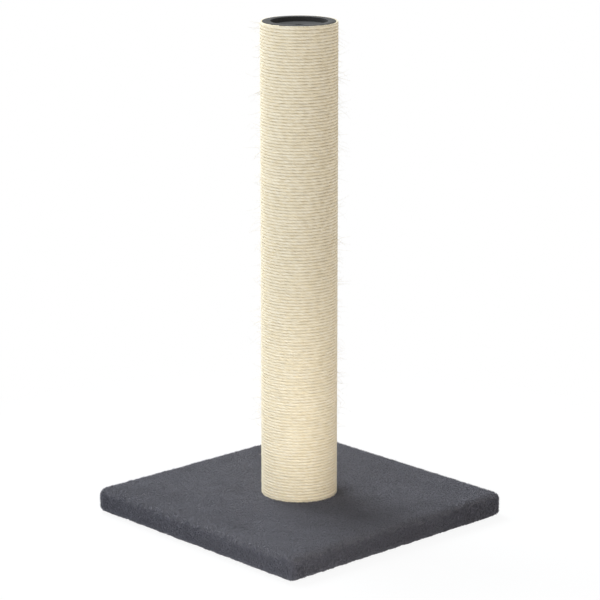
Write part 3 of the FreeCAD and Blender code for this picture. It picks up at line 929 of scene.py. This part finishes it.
def pinHem(grid, length, inHem):
    # Each staple pulls the hem up round its crown, and crushes the pile there.
    staples = nodes["cover_staples"].data
    corners = [vertex.co for vertex in staples.vertices]
    crowns = BVHTree.FromPolygons(corners, [face.vertices for face in staples.polygons])
    for row, column in np.argwhere(inHem):
        spot = Vector(grid[row, column])
        spot.z = cover["crownHeight"]
        near = 1 - crowns.find_nearest(spot)[3] / cover["pullWidth"]
        pull = min(max(near, 0) * 2, 1)
        grid[row, column, 2] += pull * cover["pullHeight"]
        length[row, column] *= 1 - pull


def closedMesh(name, grid):
    # Both the rows and the columns close on themselves.
    number = np.arange(grid.shape[0] * grid.shape[1]).reshape(grid.shape[:2])
    right, down = np.roll(number, -1, 1), np.roll(number, -1, 0)
    quads = np.stack([number, right, np.roll(right, -1, 0), down], 2).reshape(-1, 4)
    mesh = bpy.data.meshes.new(name)
    mesh.from_pydata(grid.reshape(-1, 3).tolist(), [], quads.tolist())
    shell = bmesh.new()
    shell.from_mesh(mesh)
    bmesh.ops.recalc_face_normals(shell, faces=shell.faces)
    shell.to_mesh(mesh)
    shell.free()
    mesh.shade_smooth()
    return mesh


def addCover():
    parts = [insideRows(), hemRows(), sideRows(), topRows()]
    rows = sum(parts, [])
    grid = np.stack([np.column_stack([ring, np.full(len(ring), height)]) for ring, height, _ in rows])
    nap = np.array([row[2] for row in rows])
    firstSide = len(parts[0]) + len(parts[1])
    roughen(grid, nap, range(firstSide, firstSide + len(parts[2])))
    inHem = mitreHem(grid, nap)
    length = np.repeat(nap[:, None], len(columns), 1)
    pinHem(grid, length, inHem)
    grid[:, :, 2] = np.maximum(grid[:, :, 2], cover["lowest"])
    mesh = closedMesh("plush_cover", grid)
    attribute = mesh.attributes.new("pileLength", "FLOAT", "POINT")
    attribute.data.foreach_set("value", length.ravel().astype(np.float32))
    mesh.materials.append(plushCloth)
    print("cover drawn:", len(mesh.polygons), "faces")
    return newObject("plush_cover", mesh)


# The pile: leaning tufts all over the cover's outer skin, in layers that keep each piece light.

pile = {
    "layers": 4,
    "firstSeed": 11,
    "seedStep": 20,
    "density": 340000,  # tufts to a square metre, in each layer
    "napSpan": (0.15, 0.9),  # the cover's nap where tufts start, and where they stand full
    "length": 0.0019,
    "lengthSpread": (0.55, 1.15),
    "width": 0.00042,
    "widthSpread": (0.7, 1.3),
    "lean": 0.75,
    "swirlScale": 30.0,
    "swirlShare": 1.1,  # how far a tuft leans with its swirl
    "ownShare": 0.6,  # and how far its own way
    "lowest": 0.00005,
}
pileSizes = {
    "Density": float(pile["density"]),
    "Tuft Length": pile["length"],
    "Tuft Width": pile["width"],
    "Lean": pile["lean"],
    "Seed": pile["firstSeed"],
    "Finish": plushPile,
}


def tuft(tree):
    # A closed cone of three sides and unit height, standing on its root.
    cone = output(tree, "GeometryNodeMeshCone", {
        "Vertices": 3, "Side Segments": 1, "Fill Segments": 1,
        "Radius Top": 0.0, "Radius Bottom": 1.0, "Depth": 1.0})
    cone = store(tree, cone, "pileTip", axesOf(tree, positionOf(tree))[2])
    return smoothed(tree, cone)


def leanOf(tree, given):
    # The pile lies in slow swirls, and each tuft leans a little its own way.
    swirl = axesOf(tree, noiseOf(tree, positionOf(tree), pile["swirlScale"], 1.0, result="Color"))
    lean = []
    for axis in range(3):
        shared = times(tree, minus(tree, swirl[axis], 0.5), pile["swirlShare"])
        own = times(tree, randomIn(tree, given, axis, -1.0, 1.0), pile["ownShare"])
        lean.append(times(tree, plus(tree, shared, own), given["Lean"]))
    return vectorOf(tree, *lean)


def pileTree():
    tree, given, leave = newTree("plushPile", pileSizes)
    amount = recall(tree, "pileLength")
    density = times(tree, given["Density"], ranged(tree, amount, *pile["napSpan"]))
    over = {"Mesh": given["Geometry"], "Density": density, "Seed": given["Seed"]}
    spread = make(tree, "GeometryNodeDistributePointsOnFaces", over, distribute_method="RANDOM").outputs
    heading = vectorSum(tree, spread["Normal"], leanOf(tree, given))
    width = times(tree, given["Tuft Width"], randomIn(tree, given, 4, *pile["widthSpread"]))
    length = times(tree, given["Tuft Length"], randomIn(tree, given, 5, *pile["lengthSpread"]), amount)
    placed = output(tree, "GeometryNodeInstanceOnPoints", {
        "Points": spread["Points"],
        "Instance": tuft(tree),
        "Rotation": rotationTo(tree, heading, randomIn(tree, given, 3, 0.0, fullTurn)),
        "Scale": vectorOf(tree, width, width, length)})
    closeTree(tree, leave, placed, given["Finish"])
    return tree


def keepAbove(mesh, lowest):
    places = np.zeros(len(mesh.vertices) * 3, np.float32)
    mesh.vertices.foreach_get("co", places)
    places[2::3] = np.maximum(places[2::3], lowest)
    mesh.vertices.foreach_set("co", places)


def addPile(clothPiece):
    tree = pileTree()
    layers = []
    for number in range(pile["layers"]):
        seed = pile["firstSeed"] + pile["seedStep"] * number
        piece = runTree(f"plush_pile_{number + 1}", tree, dict(pileSizes, Seed=seed), clothPiece)
        keepAbove(piece.data, pile["lowest"])
        dropAttributes(piece, "pileLength")
        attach(piece, body)
        layers.append(piece)
        print("pile layer", number + 1, len(piece.data.polygons), "faces")
    return layers


def dressBase():
    clothPiece = addCover()
    layers = addPile(clothPiece)
    dropAttributes(clothPiece, "pileLength")
    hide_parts("base_cover")
    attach(clothPiece, body)


# Hard pieces. The upper cap is copied with its edges softened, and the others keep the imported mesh.

hard = {
    "softEdge": 0.0002,
    "edgeSegments": 2,
    "weldWidth": 0.000002,
    "flatAngle": math.radians(1),  # faces that meet at less are joined
    "edgeAngle": math.radians(32),  # edges that turn more are softened
    "shadeAngle": math.radians(35),
}
capLook = {
    "dark": (0.040, 0.039, 0.038),
    "light": (0.051, 0.050, 0.048),
    "scuff": (0.08, 0.078, 0.075),
    # painted shade: near-black for the bolt hole's wall and a narrow ring round it
    "hole": (0.006, 0.006, 0.006),
    "holeShadeEnds": (0.0054, 0.0060),  # from the axis, where the painted shade in and round the hole starts to fade and is gone
    "holeShadeShare": 0.85,
}
boardLook = {
    "darkChip": (0.34, 0.225, 0.120),
    "lightChip": (0.69, 0.535, 0.345),
    "dust": (0.62, 0.48, 0.31),
    "layers": ((210.0, (1.0, 2.4, 1.0)), (330.0, (2.6, 1.0, 1.0))),  # chips to a metre, and their stretch
    "warp": 0.010,  # how far the chips bend
}
tubeLook = {
    "dark": (0.33, 0.225, 0.135),
    "light": (0.48, 0.345, 0.215),
    "seam": (0.22, 0.145, 0.085),
    "seamWidth": 0.012,  # share of a ply
    "plyWidth": 0.075,
    "pliesRound": 2,  # plies that the spiral climbs in one turn
}
steelLook = {
    "zinc": ((0.50, 0.52, 0.55), (0.66, 0.67, 0.69), (0.28, 0.42), 1800.0),  # dark, light, roughness, grain
    "wire": ((0.55, 0.55, 0.56), (0.70, 0.70, 0.70), (0.22, 0.36), 2600.0),
    "scuff": (0.80, 0.80, 0.80),
}


def plasticMaterial():
    material, tree, shader = newMaterial("capPlastic", Specular_IOR_Level=0.1)
    place = placeOf(tree)
    patches = useGroup(tree, mottle, Vector=place, Patch_Scale=35.0, Speck_Scale=900.0, Speck_Share=0.3)[0]
    scuffs = useGroup(tree, rubs, Vector=place, Scale=45.0, Amount=0.5)[0]
    fromAxis = vectorLength(tree, stretched(tree, place, (1.0, 1.0, 0.0)))
    # Painted shade: the bolt hole's wall and a narrow ring round it are painted near-black.
    hole = ranged(tree, fromAxis, *capLook["holeShadeEnds"], capLook["holeShadeShare"], 0.0)
    colour = layered(
        tree, capLook["dark"], (patches, capLook["light"]), (scuffs, capLook["scuff"]),
        (hole, capLook["hole"]))
    grain = useGroup(tree, relief, Vector=place, Scale=3800.0, Strength=0.25, Depth=0.00008)
    rough = plus(tree, ranged(tree, patches, 0.0, 1.0, 0.56, 0.66), times(tree, scuffs, 0.15))
    feedNamed(tree, shader, Base_Color=colour, Roughness=rough, Normal=grain["Normal"])
    return material


def chipboardMaterial():
    # Two sets of pressed chips, one lying across the other, under a little dust.
    material, tree, shader = newMaterial("chipboard", Specular_IOR_Level=0.3)
    place = placeOf(tree)
    warp = stretched(tree, noiseOf(tree, place, 90.0, result="Color"), (boardLook["warp"],) * 3)
    bent = vectorSum(tree, warp, place)
    shades, chips = [], []
    for scale, shape in boardLook["layers"]:
        inputs = {"Vector": stretched(tree, bent, shape), "Scale": scale}
        flakes = make(tree, "ShaderNodeTexVoronoi", inputs).outputs["Color"]
        shades.append(output(tree, "ShaderNodeSeparateColor", {0: flakes}))
        chips.append(blended(tree, shades[-1], boardLook["darkChip"], boardLook["lightChip"]))
    dust = useGroup(tree, mottle, Vector=place, Patch_Scale=60.0, Speck_Scale=1500.0, Speck_Share=0.6)[0]
    dusty = ranged(tree, dust, 0.25, 0.75, 0.0, 0.35)
    colour = layered(tree, chips[0], (0.5, chips[1]), (dusty, boardLook["dust"]))
    bump = bumpOf(tree, plus(tree, *shades, dust), 0.35, 0.0003)
    rough = ranged(tree, dust, 0.0, 1.0, 0.72, 0.9)
    feedNamed(tree, shader, Base_Color=colour, Normal=bump, Roughness=rough)
    return material


def cardboardMaterial():
    # The tube's plies run round it as a spiral, with a seam between their edges.
    material, tree, shader = newMaterial("tubeBoard", Specular_IOR_Level=0.25)
    place = placeOf(tree)
    axes = axesOf(tree, place)
    angle = divided(tree, calc(tree, "ARCTAN2", axes[1], axes[0]), fullTurn)
    climb = times(tree, angle, tubeLook["pliesRound"])
    plies = minus(tree, divided(tree, axes[2], tubeLook["plyWidth"]), climb)
    seam = ranged(tree, calc(tree, "PINGPONG", plies, 0.5), 0.0, tubeLook["seamWidth"], 1.0, 0.0)
    fibres = stretched(tree, place, (1.0, 1.0, 0.35))
    pulp = useGroup(tree, mottle, Vector=fibres, Patch_Scale=120.0, Speck_Scale=1900.0, Speck_Share=0.6)[0]
    colour = layered(
        tree, tubeLook["dark"], (pulp, tubeLook["light"]), (times(tree, seam, 0.6), tubeLook["seam"]))
    bump = bumpOf(tree, minus(tree, pulp, seam), 0.3, 0.0002)
    rough = ranged(tree, pulp, 0.0, 1.0, 0.82, 0.94)
    feedNamed(tree, shader, Base_Color=colour, Normal=bump, Roughness=rough)
    return material


def steelMaterial(name, dark, light, roughness, grainScale):
    material, tree, shader = newMaterial(name, Metallic=1.0)
    place = placeOf(tree)
    scales = {"Patch_Scale": 180.0, "Speck_Scale": 1400.0}
    patches = useGroup(tree, mottle, Vector=place, Speck_Share=0.35, **scales)[0]
    scuffs = useGroup(tree, rubs, Vector=place, Scale=160.0, Amount=0.6)[0]
    colour = layered(tree, dark, (patches, light), (scuffs, steelLook["scuff"]))
    grain = useGroup(tree, relief, Vector=place, Scale=grainScale, Strength=0.2, Depth=0.00006)
    rough = plus(tree, ranged(tree, patches, 0.0, 1.0, *roughness), times(tree, scuffs, -0.1))
    feedNamed(tree, shader, Base_Color=colour, Roughness=rough, Normal=grain["Normal"])
    return material


capPlastic = plasticMaterial()
chipboard = chipboardMaterial()
tubeBoard = cardboardMaterial()
zincSteel = steelMaterial("zincSteel", *steelLook["zinc"])
steelWire = steelMaterial("steelWire", *steelLook["wire"])
hardNodes = {
    "lower_end_cap": capPlastic,
    "base_bolt": zincSteel,
    "bolt_washer": zincSteel,
    "upper_cap_nut": zincSteel,
    "lower_cap_nut": zincSteel,
    "cover_staples": steelWire,
    "rope_staples": steelWire,
    "base_board": chipboard,
    "post_tube": tubeBoard,
}


def addUpperCap():
    shell = bmesh.new()
    shell.from_mesh(nodes["upper_end_cap"].data)
    bmesh.ops.remove_doubles(shell, verts=shell.verts, dist=hard["weldWidth"])
    bmesh.ops.dissolve_limit(shell, angle_limit=hard["flatAngle"], verts=shell.verts, edges=shell.edges)
    edges = [edge for edge in shell.edges if len(edge.link_faces) == 2]
    edges = [edge for edge in edges if edge.calc_face_angle(0.0) > hard["edgeAngle"]]
    bmesh.ops.bevel(
        shell, geom=edges, offset=hard["softEdge"], segments=hard["edgeSegments"], profile=0.5,
        affect="EDGES", clamp_overlap=True)
    mesh = bpy.data.meshes.new("upper_cap")
    shell.to_mesh(mesh)
    shell.free()
    mesh.shade_smooth()
    mesh.set_sharp_from_angle(angle=hard["shadeAngle"])
    mesh.materials.append(capPlastic)
    piece = newObject("upper_cap", mesh)
    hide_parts("upper_end_cap")
    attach(piece, body)
    print("upper cap softened")


def finishHardNodes():
    for name, material in hardNodes.items():
        materials = nodes[name].data.materials
        materials.clear()
        materials.append(material)
    print("hard pieces finished")


# The stage: a white floor that keeps a faint shadow, plain studio light, and the camera.

stage = {
    "floorHalf": 30.0,
    "floorHeight": -0.00005,
    "floorColour": (0.9, 0.9, 0.9, 1.0),
    "floorGlow": 0.25,  # share of the floor's light that is its own, which lights the underside a little
    "shadowEnds": (0.25, 0.55),  # from the middle, where the shadow starts to fade and where it is gone
    "shadowShare": 0.09,  # of the shadow, that the camera sees
    "white": (1.0, 1.0, 1.0, 1.0),
    "skyColour": (0.97, 0.985, 1.0, 1.0),
    "skyStrength": 0.50,
}
# For each lamp: watts, size, place, the height that it is aimed at, and colour.
areaLamps = {
    "key": (113.0, 1.6, (-1.92, 0.24, 2.75), 0.22, (0.885, 0.945, 1.0)),
    "fill": (20.0, 1.4, (0.10, -2.45, 0.56), 0.22, (0.89, 0.945, 1.0)),
    "side": (1.8, 0.8, (1.45, 0.60, 0.30), 0.22, (1.0, 0.64, 0.28)),
}
spotLamps = {
    "low": (44.0, 0.12, (1.21, -1.01, 0.26), 0.055, (1.0, 0.965, 0.91)),
}
spotAngle = math.radians(13)
shot = {
    "focal": 2607.4 / 600 * 36,  # 2607.4 pixels of a picture 600 wide, on a sensor of 36 mm
    "sensor": 36.0,
    "clip": (0.05, 100.0),
    "distance": 2.6012,
    "height": 0.8915,
    "seatAngle": math.radians(46.9821),  # round the post, where the camera stands
    "azimuth": math.radians(46.963),  # and which way it looks
    "tilt": math.radians(75.756),  # up from straight down
}


def mixedShader(tree, factor, first, second):
    return output(tree, "ShaderNodeMixShader", {0: factor, 1: first, 2: second})


def whiteToCamera(tree, plain, white):
    # What the camera, a gloss or a clear piece sees is white, and all else gets the plain shader.
    path = make(tree, "ShaderNodeLightPath").outputs
    mirrored = calc(tree, "MAXIMUM", path["Is Glossy Ray"], path["Is Transmission Ray"])
    seen = calc(tree, "MAXIMUM", path["Is Camera Ray"], mirrored)
    return mixedShader(tree, seen, plain, white)


def floorMaterial():
    material = bpy.data.materials.new("paleFloor")
    material.use_nodes = True
    tree = material.node_tree
    tree.nodes.clear()
    matte = output(tree, "ShaderNodeBsdfDiffuse", {"Color": stage["floorColour"]})
    glow = output(tree, "ShaderNodeEmission", {"Color": stage["white"], "Strength": 1.0})
    away = vectorLength(tree, placeOf(tree))
    shadow = ranged(tree, away, *stage["shadowEnds"], stage["shadowShare"], 0.0)
    plain = mixedShader(tree, stage["floorGlow"], matte, glow)
    shown = whiteToCamera(tree, plain, mixedShader(tree, shadow, glow, matte))
    # From below it is clear, so that the underside can be seen.
    behind = make(tree, "ShaderNodeNewGeometry").outputs["Backfacing"]
    shown = mixedShader(tree, behind, shown, output(tree, "ShaderNodeBsdfTransparent"))
    make(tree, "ShaderNodeOutputMaterial", {0: shown})
    return material


def addFloor():
    half, height = stage["floorHalf"], stage["floorHeight"]
    corners = [(x * half, y * half, height) for x, y in ((-1, -1), (1, -1), (1, 1), (-1, 1))]
    mesh = bpy.data.meshes.new("floor")
    mesh.from_pydata(corners, [], [(0, 1, 2, 3)])
    mesh.materials.append(floorMaterial())
    floor = newObject("floor", mesh)


def addWorld():
    world = bpy.data.worlds.new("studio")
    world.use_nodes = True
    bpy.context.scene.world = world
    tree = world.node_tree
    tree.nodes.clear()
    sky = output(tree, "ShaderNodeBackground", {0: stage["skyColour"], 1: stage["skyStrength"]})
    white = output(tree, "ShaderNodeBackground", {0: stage["white"], 1: 1.0})
    make(tree, "ShaderNodeOutputWorld", {0: whiteToCamera(tree, sky, white)})


def addLamp(name, kind, watts, size, place, aimHeight, colour):
    lamp = bpy.data.lights.new(name, kind)
    if kind == "SPOT":
        lamp.spot_size, lamp.spot_blend, lamp.shadow_soft_size = spotAngle, 1.0, size
    else:
        lamp.size = size
    lamp.energy, lamp.color = watts, colour
    holder = newObject(name, lamp)
    holder.location = place
    holder.visible_camera = False
    aim = Vector((0.0, 0.0, aimHeight)) - Vector(place)
    holder.rotation_mode = "QUATERNION"
    holder.rotation_quaternion = aim.to_track_quat("-Z", "Y")


def addCamera():
    lens = bpy.data.cameras.new("camera")
    lens.lens, lens.sensor_width = shot["focal"], shot["sensor"]
    lens.clip_start, lens.clip_end = shot["clip"]
    camera = newObject("camera", lens)
    seat, distance = shot["seatAngle"], shot["distance"]
    camera.location = (distance * math.sin(seat), -distance * math.cos(seat), shot["height"])
    camera.rotation_euler = (shot["tilt"], 0.0, shot["azimuth"])
    bpy.context.scene.camera = camera
    print("stage set")


addRope()
addFuzz()
dressBase()
addUpperCap()
finishHardNodes()
addFloor()
addWorld()
for kind, lamps in (("AREA", areaLamps), ("SPOT", spotLamps)):
    for name, values in lamps.items():
        addLamp(name, kind, *values)
addCamera()
bpy.context.scene.view_settings.view_transform = "Standard"
